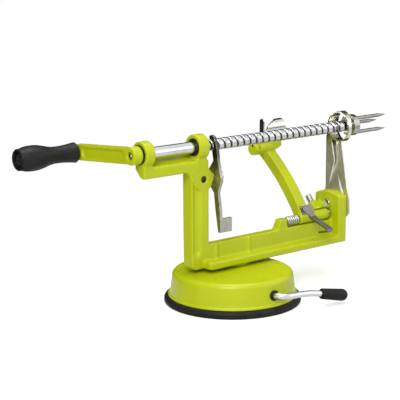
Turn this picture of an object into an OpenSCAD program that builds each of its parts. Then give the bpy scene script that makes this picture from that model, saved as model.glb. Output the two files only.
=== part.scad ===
// Apple peeler: a hand cranked screw feeds an apple past a peeling blade and through a coring ring.
// Millimetres. +X runs along the screw toward the fork, +Y away from the user, +Z up.
// The origin is the middle of the rubber pad, on the table.

/* [Suction base] */
// Outer radius of the rubber pad
pad_r = 56; // [54:1:62]
// Height of the rubber rim that shows under the drum
pad_rim_h = 6; // [5:0.5:7]
// Radius of the drum at its foot
drum_foot_r = 51.5; // [50.5:0.5:53]
// Radius of the drum just below its rounded top edge
drum_top_r = 49.5; // [48:0.5:50]
// Height of the flat top of the drum above the table
drum_h = 26.5; // [26:0.5:30]
// Thickness of the drum's sheet metal
drum_wall = 1.6; // [1.2:0.2:2]
// Radius of the rounded top edge of the drum
drum_round = 4.5; // [3.5:0.5:5]

/* [Suction lever] */
// Radius of the bent steel rod
cam_rod_r = 2.6; // [2.3:0.1:2.8]
// Height of the rod's axis above the table
cam_rod_h = 15; // [14.5:0.25:15.5]
// Throw of the eccentric in the middle of the rod
cam_throw = 2; // [1.5:0.25:2.25]
// Length of the lever from the rod's axis to its tip
lever_len = 64; // [58:1:70]
// Largest radius of the soft black tip
tip_r = 5; // [4:0.25:5.5]
// Radius of the stud that lifts the middle of the pad
stud_r = 6.5; // [6.25:0.25:8]

/* [Frame casting] */
// Distance of the screw behind the middle of the drum
axis_y = 12; // [9:0.5:14]
// Height of the screw above the table
axis_h = 128.6; // [126:0.5:136]
// Height of the round seat between the drum and the frame
seat_h = 3; // [2:0.5:4]
// Radius of the round seat
seat_r = 13; // [12:0.5:14]
// Width of the foot flange and of the upright plate, front to back
frame_w = 30; // [29:0.5:34]
// Thickness of the foot flange
flange_t = 6; // [5:0.5:7]
// Height of the lower arm, from the flange's underside to the top of its web
web_h = 19.5; // [18:0.5:20.5]
// Thickness of the web of the lower arm
web_t = 8; // [7:0.5:9]
// Position of the column's middle along the screw
column_x = -28.2; // [-30:0.2:-27]
// Width of the column along the screw
column_w = 17.5; // [16:0.5:20]
// Depth of the column, front to back
column_d = 12; // [11:0.5:13]
// Depth of the long hollow in each side of the column
pocket_d = 2.6; // [1.5:0.1:3]
// Height of the upper arm's bar
bar_h = 8.5; // [7:0.5:10]
// Radius of the two round eyes that carry the screw
eye_r = 10.3; // [9.5:0.1:11]
// Length of the front eye
front_eye_len = 9.5; // [8:0.5:10]
// Length of the rear eye
rear_eye_len = 8.5; // [7.5:0.5:10]
// Distance between the middles of the two eyes
eye_span = 53; // [48:1:58]
// Position of the upright plate's inner face
plate_x = 118; // [116:0.5:121]
// Thickness of the upright plate
plate_t = 9.5; // [9:0.5:11]
// Height of the upright plate at its edges, above the flange's underside
plate_h = 40.5; // [39:0.5:43]
// Rise of the curved top edge of the upright plate
plate_crown = 3.5; // [2:0.5:5]

/* [Crank and screw] */
// Radius of the shaft and of the thread's crest
rod_r = 4.75; // [4.5:0.05:5]
// Lead of the thread
thread_pitch = 6.8; // [6:0.2:7.6]
// Depth of the thread's groove
thread_d = 1.1; // [0.8:0.1:1.3]
// Length of the thread
thread_len = 154; // [146:1:156]
// Radius of the plain neck behind the fork
neck_r = 3.2; // [2.8:0.1:3.4]
// Radius of the two bushes
bush_r = 6.75; // [6.4:0.05:7.2]
// Thickness of the thrust washer between crank and frame
washer_t = 1.3; // [1:0.1:1.6]
// Radius of the crank's hub
hub_r = 7.2; // [6.8:0.1:8]
// Length of the crank's hub
hub_len = 7.5; // [7:0.25:9]
// Distance from the screw to the grip
crank_throw = 73.3; // [66:1:80]
// Angle by which the crank hangs below the horizontal
crank_drop = 5.2; // [0:0.2:12]
// Width of the crank's arm
crank_w = 13; // [12:0.5:13.5]
// Length of the grip
grip_len = 54; // [50:1:60]
// Largest radius of the grip, near its outer end
grip_r = 10.2; // [9.5:0.1:11.5]
// Radius of the grip at its waist
grip_waist_r = 6.8; // [6.3:0.1:7.5]
// Radius of the steel spindle inside the grip
spindle_r = 3; // [2.6:0.1:3.4]

/* [Fork] */
// Radius of the fork's hub
fork_r = 9.2; // [8.8:0.1:9.8]
// Thickness of the fork's hub
fork_t = 6.5; // [5.5:0.5:8]
// Distance of each prong from the screw's axis
prong_at = 7; // [6.6:0.1:7.2]
// Radius of a prong
prong_r = 1.6; // [1.3:0.1:1.7]
// Length of a prong from the hub to its point
prong_len = 36.5; // [32:0.5:40]

/* [Corer and slicer] */
// Outer radius of the coring ring
corer_r = 13.2; // [12.8:0.1:14]
// Wall of the coring ring
corer_wall = 1.1; // [0.9:0.1:1.3]
// Length of the coring ring at its far side
corer_len = 12.4; // [11:0.2:13]
// Length of the coring ring at its near side
corer_short = 3.4; // [3:0.2:5]
// Thickness of the slicing blade
slicer_t = 1.4; // [1.2:0.1:1.8]

/* [Peeler arm] */
// Height of the arm's pivot pin above the top of the web
pivot_h = 5; // [5:0.25:6.5]
// Radius of the pivot pin
pivot_r = 2.2; // [2:0.1:2.4]
// Radius of the arm's hub on the pin
arm_hub_r = 4.5; // [4.2:0.1:4.7]
// Position of the arm along the screw
arm_x = 88; // [86:0.5:91]
// Width and thickness of the arm
arm_w = 10; // [9:0.5:11]
// Radius of the arm's long curve
arm_bow_r = 186; // [170:2:200]
// Angle at which the arm leaves its hub, from the horizontal
arm_lean = 58; // [56:0.2:60]
// Angle swept by the arm's long curve
arm_sweep = 21.1; // [19.5:0.1:22]
// Distance between the blade's two legs
head_len = 25; // [22:0.5:27]
// Radius of the arm's round head
head_r = 5.6; // [5:0.1:6]
// Thickness of the peeling blade
blade_t = 1.1; // [0.9:0.1:1.4]
// Radius of the peeling blade's curve
blade_r = 6.5; // [6:0.25:7.5]

/* [Release lever] */
// Radius of the round boss that carries the release lever
boss_r = 9.6; // [9:0.1:10.2]
// Radius of the pin that the release lever turns on
lever_pin_r = 2.2; // [1.9:0.1:2.5]
// Depth of the pin below the screw's axis
lever_pin_drop = 26; // [25:0.2:27]
// Thickness of the release lever's steel
lever_t = 2.6; // [2:0.2:3]
// Width of the release lever's strip
lever_w = 5; // [4.4:0.1:6]
// Length of the release lever below its pin
lever_drop = 44; // [41:0.5:47]

/* [Hidden] */
// Smoothness of round parts
$fn = 64;
// Radial play of a turning fit
run_fit = 0.05;
// Gap left between pieces that slide past each other
slip = 0.3;
// Seats, edges and middles that follow from the sizes above
seat_z = drum_h + seat_h;
near_y = axis_y - frame_w / 2;
far_y = axis_y + frame_w / 2;
column_left = column_x - column_w / 2;
column_right = column_x + column_w / 2;
front_eye_x = column_x + 2;
front_face_x = front_eye_x + front_eye_len / 2;
rear_eye_x = front_eye_x - eye_span;
rear_face_x = rear_eye_x - rear_eye_len / 2;
bar_top = axis_h - eye_r;
bar_bottom = bar_top - bar_h;
plate_back_x = plate_x + plate_t;
plate_top = seat_z + plate_h;
web_top = seat_z + web_h;
web_y = axis_y - 2;
hub_in_x = rear_face_x - washer_t;
hub_out_x = hub_in_x - hub_len;
grip_x = hub_out_x - 1.6;
grip_y = axis_y + crank_throw * cos(crank_drop);
grip_z = axis_h - crank_throw * sin(crank_drop);
thread_x = front_face_x + 1.5;
thread_end_x = thread_x + thread_len;
fork_x = thread_end_x + 8;
pivot_z = web_top + pivot_h;
arm_cy = web_y + arm_bow_r * sin(arm_lean);
arm_cz = pivot_z - arm_bow_r * cos(arm_lean);
arm_tip_a = 90 + arm_lean - arm_sweep;
head_y = arm_cy + (arm_bow_r + 2) * cos(arm_tip_a) + 1.5;
head_z = arm_cz + (arm_bow_r + 2) * sin(arm_tip_a) + 4;
blade_pin_z = head_z + 2.4;
blade_y = head_y - 1;
blade_z = head_z + 17.3;
lug_x = arm_x - 31;
lug_t = 10;
arm_hub_x = arm_x - 6;
stop_x = plate_x - 6;
stop_a = 42;
stop_r = 2.8;
stop_y = web_y + 6.5;
stop_z = pivot_z - 1.5;
stop_tip = 1;
column_near = axis_y - column_d / 2;
column_far = axis_y + column_d / 2;
bar_foot = 4.5;
bar_rise = 4.6;
boss_x = column_right + 4.8 - boss_r;
washer_gap = 0.6;
lever_x = boss_x + boss_r + 0.9;
lever_pin_z = axis_h - lever_pin_drop;
lock_r = 2.8;
arm_h = arm_w - 0.6;
foot_seat = arm_h / 2 + 0.4;
hollow_w = column_w - 9.5;
hollow_r = (hollow_w * hollow_w / 4 + pocket_d * pocket_d) / (2 * pocket_d);
slicer_x = plate_back_x;
corer_x = slicer_x + 2.9;

// Rod parallel to the screw, from x0 to x1
module rod_x(x0, x1, r, y, z) {
    translate([x0, y, z])
        rotate([0, 90, 0])
            cylinder(h = x1 - x0, r = r);
}

// Rod running front to back, from y0 to y1
module rod_y(y0, y1, r, x, z) {
    translate([x, y0, z])
        rotate([-90, 0, 0])
            cylinder(h = y1 - y0, r = r);
}

// Turns a flat outline drawn as (y, z) into a slab from x0 to x1
module slab_x(x0, x1) {
    translate([x0, 0, 0])
        rotate([90, 0, 90])
            linear_extrude(x1 - x0)
                children();
}

// Turns a flat outline drawn as (x, z) into a slab from y0 to y1
module slab_y(y0, y1) {
    translate([0, y1, 0])
        rotate([90, 0, 0])
            linear_extrude(y1 - y0)
                children();
}

// Places its children at the first point, +z toward the second
module along(p, q) {
    d = q - p;
    translate(p)
        rotate([0, acos(d[2] / norm(d)), atan2(d[1], d[0])])
            children();
}

// Round bar between two points
module bar(p, q, r1, r2) {
    along(p, q)
        cylinder(h = norm(q - p), r1 = r1, r2 = r2);
}

// Outline with two round ends, from the start along +x
module slot_2d(len, w) {
    translate([0, -w / 2])
        square([len, w]);
    circle(d = w);
    translate([len, 0])
        circle(d = w);
}

// Triangle-faced tube along a list of points, with six sides
function tube_ring(path, i, r) =
    let (last = len(path) - 1,
        t0 = path[min(i + 1, last)] - path[max(i - 1, 0)],
        t = t0 / norm(t0),
        side = cross(t, [1, 0.12, 0.07]),
        u = side / norm(side),
        v = cross(t, u))
    [for (k = [0:5]) path[i] + r * cos(60 * k) * u + r * sin(60 * k) * v];

module tube(path, r) {
    n = len(path);
    points = [for (i = [0:n - 1]) each tube_ring(path, i, r)];
    sides = [for (i = [0:n - 2]) for (k = [0:5])
        let (a = 6 * i + k, b = 6 * i + (k + 1) % 6)
        each [[a, b, a + 6], [b, b + 6, a + 6]]];
    first = [for (k = [1:4]) [0, k + 1, k]];
    last = [for (k = [1:4]) [6 * n - 6, 6 * n - 6 + k, 6 * n - 6 + k + 1]];
    polyhedron(points = points, faces = concat(sides, first, last));
}

// Coil round an axis parallel to the screw, eight points per turn
function coil(x0, pitch, turns, r, y, z, start) =
    [for (i = [0:8 * turns])
        [x0 + pitch * i / 8, y + r * cos(start + 45 * i), z + r * sin(start + 45 * i)]];

// Sheet metal drum with a rolled foot, open below
function drum_profile(inset) =
    concat(
        [[drum_foot_r - inset, pad_rim_h], [drum_top_r - inset, drum_h - drum_round]],
        [for (a = [15:15:90])
            [drum_top_r - drum_round + (drum_round - inset) * cos(a),
                drum_h - drum_round + (drum_round - inset) * sin(a)]]);

module base_drum() {
    color("yellowgreen")
        difference() {
            union() {
                rotate_extrude()
                    polygon(concat([[0, pad_rim_h]], drum_profile(0), [[0, drum_h]]));
                translate([0, 0, pad_rim_h])
                    cylinder(h = 1.8, r1 = drum_foot_r + 1.2, r2 = drum_foot_r + 0.5);
            }
            difference() {
                rotate_extrude()
                    polygon(concat([[0, pad_rim_h - 1], [drum_foot_r - drum_wall, pad_rim_h - 1]],
                        drum_profile(drum_wall), [[0, drum_h - drum_wall]]));
                guide_boss();
            }
            rod_y(-pad_r, pad_r, cam_rod_r + 1.6, 0, cam_rod_h);
            rod_y(-stud_r - 3.5, stud_r + 3.5, cam_rod_r + 1.1, 0, cam_rod_h + cam_throw);
            translate([0, 0, 2])
                cylinder(h = drum_h - drum_wall - 2, r = stud_r + run_fit);
            frame_screw_holes();
        }
}

// Guide for the stud, hanging from the drum's top
module guide_boss() {
    translate([0, 0, drum_h - drum_wall - 5])
        cylinder(h = 9, r = stud_r + 2.2);
}

module frame_screw_holes() {
    for (p = frame_screw_at)
        translate([p[0], p[1], drum_h - 4])
            cylinder(h = 9, r = 1.9);
}

frame_screw_at = [for (a = [60, 180, 300]) [12 + 9 * cos(a), axis_y + 1 + 9 * sin(a)]];

// Rubber pad with a rim that shows round the drum and a flat floor on the table
module suction_pad() {
    color("dimgray")
        rotate_extrude()
            polygon([[0, 0], [pad_r - 1.2, 0],
                [pad_r, 1.4], [pad_r, pad_rim_h - 2], [pad_r - 1, pad_rim_h - 0.6],
                [pad_r - 2.4, pad_rim_h], [drum_foot_r - 5, pad_rim_h], [drum_foot_r - 8, 4.4], [0, 4.4]]);
}

// Stud with a wide foot on the pad and a slot for the eccentric
module pad_stud() {
    cam_r = cam_rod_r + 0.6;
    low_z = cam_rod_h - cam_throw;
    color("silver")
        difference() {
            union() {
                translate([0, 0, 4.4])
                    cylinder(h = 1.6, r = 18);
                translate([0, 0, 4.4])
                    cylinder(h = drum_h - drum_wall - 5.4 - 2 * cam_throw + 0.4, r = stud_r);
            }
            translate([0, stud_r + 1, low_z])
                rotate([90, 0, 0])
                    linear_extrude(2 * stud_r + 2)
                        translate([-cam_throw - 0.4, 0])
                            slot_2d(2 * cam_throw + 0.8, 2 * cam_r + 1.1);
        }
}

// Bent rod: journals front and back, an eccentric inside the stud and a lever arm
module cam_rod() {
    cam_r = cam_rod_r + 0.6;
    elbow = [0, -drum_foot_r - 7, cam_rod_h];
    knee = [0.44 * lever_len, -drum_foot_r - 8.5, cam_rod_h - 1.2];
    color("silver") {
        rod_y(-drum_foot_r - 7, -stud_r - 2, cam_rod_r, 0, cam_rod_h);
        rod_y(stud_r + 2, drum_foot_r - 2, cam_rod_r, 0, cam_rod_h);
        rod_y(-stud_r - 3, stud_r + 3, cam_r, 0, cam_rod_h - cam_throw);
        for (s = [-1, 1])
            rod_y(s * (stud_r + 2) - 1, s * (stud_r + 2) + 1, cam_rod_r + cam_throw, 0, cam_rod_h);
        translate(elbow)
            rotate([0, 0, 225])
                sphere(r = cam_rod_r + 0.15);
        bar(elbow, knee, cam_rod_r, cam_rod_r);
        translate(knee)
            rotate([0, 0, 270])
                sphere(r = cam_rod_r + 0.15);
        bar(knee, lever_tip_at(0.96), cam_rod_r, cam_rod_r);
    }
}

// Point on the outer half of the lever, 0 at the knee and 1 at the tip
function lever_tip_at(t) =
    [(0.44 + 0.56 * t) * lever_len, -drum_foot_r - 8.5 - 6 * t, cam_rod_h - 1.2 - 7 * t];

// Soft sleeve with a round end, turned about the rod
module lever_tip() {
    start = lever_tip_at(0.34);
    len = norm(lever_tip_at(0.9) - start);
    hole = norm(lever_tip_at(0.96) - start);
    color("black")
        along(start, lever_tip_at(0.9))
            rotate_extrude()
                polygon(concat([[cam_rod_r, 0], [tip_r - 0.8, 0]],
                    [for (a = [0:10:90]) [tip_r * cos(a), len + tip_r * sin(a)]],
                    [[0, hole], [cam_rod_r, hole]]));
}

// Radius of the drum's leaning wall at a height above the table
function drum_wall_r(z) =
    drum_foot_r + (drum_top_r - drum_foot_r) * (z - pad_rim_h) / (drum_h - drum_round - pad_rim_h);

// Two plastic grommets that carry the rod in the drum's wall
module rod_grommets() {
    neck_out = drum_wall_r(cam_rod_h - cam_rod_r - 1.6) + 0.8;
    flange_out = drum_wall_r(cam_rod_h + cam_rod_r + 3) - drum_wall - 0.175;
    color("black")
        for (s = [-1, 1])
            scale([1, s, 1])
                difference() {
                    union() {
                        rod_y(flange_out - 1, neck_out, cam_rod_r + 1.6, 0, cam_rod_h);
                        rod_y(flange_out - 3.4, flange_out, cam_rod_r + 3, 0, cam_rod_h);
                    }
                    rod_y(flange_out - 5, neck_out + 2, cam_rod_r + run_fit, 0, cam_rod_h);
                }
}

module frame_screws() {
    color("silver")
        for (p = frame_screw_at)
            translate([p[0], p[1], drum_h - drum_wall]) {
                translate([0, 0, -2.2])
                    cylinder(h = 2.2, r = 3.4);
                cylinder(h = drum_wall + seat_h + flange_t - 2, r = 1.8);
            }
}

// Column with a long hollow in each side
module column() {
    difference() {
        translate([column_left, axis_y - column_d / 2, seat_z])
            cube([column_w, column_d, bar_top - seat_z]);
        for (s = [-1, 1])
            translate([column_left + 1.3 + hollow_w / 2, axis_y + s * (column_d / 2 + hollow_r - pocket_d), 0])
                hollow();
        foot_corner();
    }
}

// Round channel that runs out at both ends
module hollow() {
    low = seat_z + 9;
    high = bar_bottom - 4;
    end_r = max(0.1, hollow_r - pocket_d - 0.4);
    translate([0, 0, low + 5])
        cylinder(h = high - low - 10, r = hollow_r);
    translate([0, 0, low])
        cylinder(h = 5, r1 = end_r, r2 = hollow_r);
    translate([0, 0, high - 5])
        cylinder(h = 5, r1 = hollow_r, r2 = end_r);
}

// Round corner at the column's foot
module foot_corner() {
    translate([column_left, axis_y, seat_z])
        rotate([90, 0, 0])
            linear_extrude(column_d + 2, center = true)
                difference() {
                    translate([-1, -1])
                        square([5, 5]);
                    translate([4, 4])
                        circle(r = 4);
                }
}

// Bar of the upper arm, narrow below and rising behind the shaft, with a fillet into the column
module upper_bar() {
    slab_x(rear_face_x + 1, front_face_x - 1)
        polygon([[column_near, bar_top - 1], [column_far, bar_top - 1], [column_far, bar_top + bar_rise],
            [column_near, bar_top]]);
    slab_x(rear_face_x, column_left + 1)
        polygon([[column_near, bar_bottom], [column_near + bar_foot, bar_bottom], [column_far, bar_top - 1.5],
            [column_far, bar_top], [column_near, bar_top]]);
    slab_y(column_near, column_near + bar_foot)
        difference() {
            translate([column_left - 6, bar_bottom - 6])
                square([7, 7]);
            translate([column_left - 6, bar_bottom - 6])
                circle(r = 6);
        }
}

module eyes() {
    rod_x(rear_face_x, rear_face_x + rear_eye_len, eye_r, axis_y, axis_h);
    rod_x(front_face_x - front_eye_len, front_face_x, eye_r, axis_y, axis_h);
    slab_x(rear_face_x, rear_face_x + rear_eye_len)
        polygon([[column_near, bar_bottom], [column_near + bar_foot, bar_bottom],
            [axis_y + 0.7 * eye_r, axis_h - 0.7 * eye_r], [axis_y, axis_h], [column_near, axis_h]]);
    translate([front_face_x - front_eye_len, column_near, bar_bottom])
        cube([front_eye_len, column_d, axis_h - bar_bottom]);
}

// Round boss on the column's side, with a short seat for the release lever's pin
module boss() {
    rod_y(column_near, column_far, boss_r, boss_x, lever_pin_z);
    rod_x(boss_x, lever_x - washer_gap, lever_pin_r + 2.8, axis_y, lever_pin_z);
}

// Flange and web of the lower arm, with two ribs on the front
module lower_arm() {
    flange_x = column_right - 5.5;
    translate([flange_x + 4, near_y, seat_z])
        cube([plate_back_x - flange_x - 4, frame_w, flange_t]);
    translate([flange_x, near_y + 4, seat_z])
        cube([8, frame_w - 8, flange_t]);
    for (y = [near_y + 4, far_y - 4])
        translate([flange_x + 4, y, seat_z])
            cylinder(h = flange_t, r = 4);
    translate([column_x, web_y - web_t / 2, seat_z])
        cube([plate_x - column_x + 1, web_t, web_h]);
    for (x = [column_right + 6, column_right + 41])
        translate([x, web_y - web_t / 2 - 1.4, seat_z])
            cube([2.4, 2, web_h]);
}

// Upright plate with a curved top
module upright() {
    crown_r = (frame_w * frame_w / 4 + plate_crown * plate_crown) / (2 * plate_crown);
    slab_x(plate_x, plate_back_x)
        union() {
            translate([near_y, seat_z])
                square([frame_w, plate_h]);
            intersection() {
                translate([near_y, plate_top - 1])
                    square([frame_w, plate_crown + 2]);
                translate([axis_y, plate_top + plate_crown - crown_r])
                    circle(r = crown_r, $fn = 180);
            }
        }
}

// Lug on the web for the arm's pin
module pin_lug() {
    lug_top = pivot_z + pivot_r + 0.9;
    slab_y(web_y - web_t / 2 + 0.4, web_y + web_t / 2 - 0.4)
        polygon([[lug_x - 1.5, web_top - 2], [lug_x - 1.5, web_top + 1], [lug_x + 2, lug_top],
            [lug_x + lug_t, lug_top], [lug_x + lug_t, web_top - 2]]);
}

// Places its children along the stop bolt, +z up the bolt from the bolt's lower end
module on_stop_bolt() {
    translate([stop_x, stop_y, stop_z])
        rotate([-stop_a, 0, 0])
            children();
}

// Tilted block on the plate that holds the stop bolt
module stop_block() {
    on_stop_bolt()
        translate([-5.5, -5, 3.2])
            cube([plate_x - stop_x + 6.5, 10, 9]);
}

module frame() {
    color("yellowgreen")
        difference() {
            union() {
                column();
                upper_bar();
                eyes();
                boss();
                lower_arm();
                upright();
                pin_lug();
                stop_block();
                translate([12, axis_y + 1, drum_h])
                    cylinder(h = seat_h + 1, r = seat_r);
            }
            rod_x(rear_face_x - 1, rear_face_x + rear_eye_len + 1, bush_r, axis_y, axis_h);
            rod_x(front_face_x - front_eye_len - 1, front_face_x + 1, bush_r, axis_y, axis_h);
            rod_x(boss_x - 5, lever_x + 1, lever_pin_r, axis_y, lever_pin_z);
            rod_y(column_near - 1, axis_y, lock_r, boss_x, lever_pin_z);
            rod_x(lug_x + 3, lug_x + lug_t + 1, pivot_r, web_y, pivot_z);
            rod_x(plate_x - 1, plate_back_x + 1, pivot_r, web_y, pivot_z);
            translate([stop_x - 6, web_y + 0.8, web_top - 4])
                cube([plate_x - stop_x + 4, web_t, 5]);
            on_stop_bolt()
                cylinder(h = 20, r = stop_r);
            for (p = slicer_screw_at)
                rod_x(plate_x - 1, plate_back_x + 1, 2.2, p[0], p[1]);
            for (p = frame_screw_at)
                translate([p[0], p[1], drum_h - 1])
                    cylinder(h = seat_h + flange_t - 1, r = 1.8);
        }
}

// Bushes in the two eyes, black, each a little proud of the eye's outer face
module bush(x0, x1) {
    color("black")
        difference() {
            rod_x(x0, x1, bush_r, axis_y, axis_h);
            rod_x(x0 - 1, x1 + 1, rod_r + run_fit, axis_y, axis_h);
        }
}

module front_bush() {
    bush(front_face_x - front_eye_len - 0.6, front_face_x);
}

module rear_bush() {
    bush(rear_face_x, rear_face_x + rear_eye_len);
}

module thrust_washer() {
    color("black")
        difference() {
            rod_x(hub_in_x, rear_face_x, hub_r + 0.4, axis_y, axis_h);
            rod_x(hub_in_x - 1, rear_face_x + 1, rod_r + run_fit, axis_y, axis_h);
        }
}

// Outline of the thread cut across the screw: a round with one notch, a hair inside the shaft
thread_outline = [for (i = [0:11])
    let (r = rod_r - (i < 2 ? thread_d : 0.05))
    [r * cos(30 * i), r * sin(30 * i)]];

module lead_screw() {
    turns = thread_len / thread_pitch;
    color("gainsboro") {
        difference() {
            union() {
                rod_x(hub_out_x - 0.2, hub_out_x + 2.1, 1.7, axis_y, axis_h);
                rod_x(hub_out_x + 2, thread_x + 0.3, rod_r, axis_y, axis_h);
            }
            translate([hub_in_x - hub_len / 2, axis_y, axis_h - 20])
                cylinder(h = 40, r = 1.5);
        }
        translate([thread_x, axis_y, axis_h])
            rotate([0, 90, 0])
                linear_extrude(height = thread_len, twist = -360 * turns, slices = round(12 * turns),
                    $fn = 12)
                    polygon(thread_outline);
        rod_x(thread_end_x - 2, fork_x + fork_t - 2, neck_r, axis_y, axis_h);
    }
}

// Flat bar with a channel in its outer face, a hub at the screw and a boss at the grip
module crank_arm() {
    arm_x0 = hub_out_x - 0.6;
    color("yellowgreen")
        difference() {
            union() {
                rod_x(hub_out_x, hub_in_x, hub_r, axis_y, axis_h);
                translate([0, axis_y, axis_h])
                    rotate([-crank_drop, 0, 0])
                        slab_x(arm_x0, hub_in_x - 1.6)
                            slot_2d(crank_throw, crank_w);
            }
            translate([0, axis_y, axis_h])
                rotate([-crank_drop, 0, 0])
                    slab_x(arm_x0 - 1, arm_x0 + 1.5)
                        translate([hub_r + 4, 0])
                            slot_2d(crank_throw - 2 * hub_r - 9, crank_w - 5);
            rod_x(hub_out_x + 2, hub_in_x + 1, rod_r, axis_y, axis_h);
            rod_x(arm_x0 - 1, hub_out_x + 2.5, 3.2, axis_y, axis_h);
            rod_x(arm_x0 - 1, hub_in_x + 1, spindle_r, grip_y, grip_z);
            translate([hub_in_x - hub_len / 2, axis_y, axis_h - 20])
                cylinder(h = 40, r = 1.5);
        }
}

// Cross pin that keys the crank to the screw
module hub_pin() {
    color("silver")
        translate([hub_in_x - hub_len / 2, axis_y, axis_h - crank_w / 2 + 0.4])
            cylinder(h = crank_w - 0.8, r = 1.5);
}

// Spindle riveted in the crank, with a flat head inside the grip's end
module grip_spindle() {
    head_x = grip_x - grip_len + 4;
    color("silver") {
        rod_x(head_x, hub_in_x - 1.6, spindle_r, grip_y, grip_z);
        rod_x(head_x - 2, head_x, spindle_r + 1.8, grip_y, grip_z);
        difference() {
            rod_x(grip_x, hub_out_x - 0.6, spindle_r + 1.6, grip_y, grip_z);
            rod_x(grip_x - 1, hub_out_x + 1, spindle_r - 0.5, grip_y, grip_z);
        }
    }
}

// Turned grip: a flare at the crank, a waist and a round end with a recess
module grip() {
    color("black")
        translate([grip_x - slip, grip_y, grip_z])
            rotate([0, -90, 0])
                rotate_extrude()
                    polygon(concat(
                        [[spindle_r + run_fit, 0], [grip_waist_r + 1.1, 0]],
                        [for (i = [0:16]) [grip_radius(i / 16), 0.6 + (grip_len - 4.6) * i / 16]],
                        [[grip_r - 2.2, grip_len - 1.4], [grip_r - 2.5, grip_len - slip],
                            [grip_r - 2.9, grip_len - slip], [grip_r - 3.2, grip_len - 4.6],
                            [spindle_r + run_fit, grip_len - 4.6]]));
}

// Radius along the grip, 0 at the crank and 1 at the outer end
function grip_radius(t) =
    t < 0.36
        ? grip_waist_r + 1.5 * pow(1 - t / 0.36, 2)
        : grip_waist_r + (grip_r - grip_waist_r) * pow(sin(90 * min(1, (t - 0.36) / 0.42)), 2)
            - (t > 0.84 ? 1.4 * pow((t - 0.84) / 0.16, 2) : 0);

// Round hub with a stepped back, holding three prongs
module fork_hub() {
    color("gainsboro")
        difference() {
            union() {
                rod_x(fork_x, fork_x + fork_t, fork_r, axis_y, axis_h);
                rod_x(fork_x - 4, fork_x, neck_r + 1.6, axis_y, axis_h);
            }
            rod_x(fork_x - 5, fork_x + fork_t - 2, neck_r, axis_y, axis_h);
            for (a = prong_angles)
                rod_x(fork_x + 1.5, fork_x + fork_t + 1, prong_r,
                    axis_y + prong_at * cos(a), axis_h + prong_at * sin(a));
        }
}

prong_angles = [0, 120, 240];

module prongs() {
    color("gainsboro")
        for (a = prong_angles)
            translate([fork_x + 1.5, axis_y + prong_at * cos(a), axis_h + prong_at * sin(a)])
                rotate([0, 90, 0]) {
                    cylinder(h = prong_len + fork_t - 10.5, r = prong_r);
                    translate([0, 0, prong_len + fork_t - 10.5])
                        cylinder(h = 9, r1 = prong_r, r2 = 0.25);
                }
}

// Stamped lever: a hook over the thread, a lobe on the pin and a thumb tab at the lower end
module release_lever() {
    tip_z = lever_pin_z - lever_drop;
    tip_y = axis_y - 13;
    low_y = axis_y - 9.8;
    top_y = axis_y - 10;
    hook_z = axis_h + rod_r;
    color("dimgray")
        difference() {
            union() {
                slab_x(lever_x, lever_x + lever_t)
                    union() {
                        polygon([[low_y, lever_pin_z - 12], [axis_y - 13.8, lever_pin_z - 1.6],
                            [axis_y - 13.2, lever_pin_z + 2], [top_y, lever_pin_z + 14],
                            [axis_y - 8.8, axis_h - 3], [axis_y - 7.2, axis_h + 3],
                            [axis_y - 4.6, hook_z + 2.4], [axis_y - 1.2, hook_z + 3.4],
                            [axis_y + 0.6, hook_z + 2.6], [axis_y + 0.6, hook_z - 1.5],
                            [axis_y - 2.4, axis_h - 2], [top_y + lever_w + 0.8, lever_pin_z + 14],
                            [axis_y - 0.6, lever_pin_z + 9], [axis_y + 3, lever_pin_z + 4.6],
                            [axis_y + 2, lever_pin_z - 5], [low_y + lever_w, lever_pin_z - 12]]);
                        polygon([[tip_y, tip_z], [tip_y + 2.8, tip_z],
                            [tip_y + lever_w + 1.2, lever_pin_z - 26],
                            [low_y + lever_w, lever_pin_z - 11], [low_y, lever_pin_z - 11],
                            [tip_y + 0.6, lever_pin_z - 26], [tip_y, lever_pin_z - 38]]);
                        translate([axis_y, lever_pin_z])
                            circle(r = lever_pin_r + 3.4);
                    }
                translate([lever_x, tip_y, tip_z])
                    cube([12.2, 2.2, 11.4]);
            }
            rod_x(lever_x - 1, lever_x + lever_t + 1, lever_pin_r + run_fit, axis_y, lever_pin_z);
            rod_x(lever_x - 1, lever_x + lever_t + 1, rod_r + slip, axis_y, axis_h);
        }
}

module lever_pin() {
    color("silver") {
        rod_x(boss_x - 5, lever_x + lever_t + 7, lever_pin_r, axis_y, lever_pin_z);
        rod_x(lever_x + lever_t + 7, lever_x + lever_t + 8.6, lever_pin_r + 2.2, axis_y, lever_pin_z);
    }
}

// Short screw in the boss that holds the pin, with a slot in its end
module lock_screw() {
    color("silver")
        difference() {
            rod_y(column_near + 1, axis_y - lever_pin_r, lock_r, boss_x, lever_pin_z);
            translate([boss_x - lock_r - 1, column_near, lever_pin_z - 0.4])
                cube([2 * lock_r + 2, 1.8, 0.8]);
        }
}

// Spacer washer between the boss and the lever
module lever_clip() {
    color("silver")
        difference() {
            rod_x(lever_x - washer_gap, lever_x, lever_pin_r + 2.6, axis_y, lever_pin_z);
            rod_x(lever_x - 2, lever_x + 1, lever_pin_r, axis_y, lever_pin_z);
        }
}

// Coil on the pin that presses the lever's hook into the thread
module lever_spring() {
    wire = 0.55;
    x0 = lever_x + lever_t + wire + 0.1;
    path = coil(x0, 1.9, 3, lever_pin_r + wire + 0.25, axis_y, lever_pin_z, 0);
    color("silver")
        tube(path, wire);
    echo("lever spring gap", 1.9 - 2 * wire);
}

// Places its children at the arm's foot, +z up the arm and -y out of its front face
module on_arm_foot() {
    translate([0, web_y, pivot_z])
        rotate([arm_lean - 90, 0, 0])
            children();
}

// Point at the arm's foot seen along the screw, from the same y and z
function foot_at(y, z) =
    [web_y + y * sin(arm_lean) + z * cos(arm_lean), pivot_z - y * cos(arm_lean) + z * sin(arm_lean)];

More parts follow.
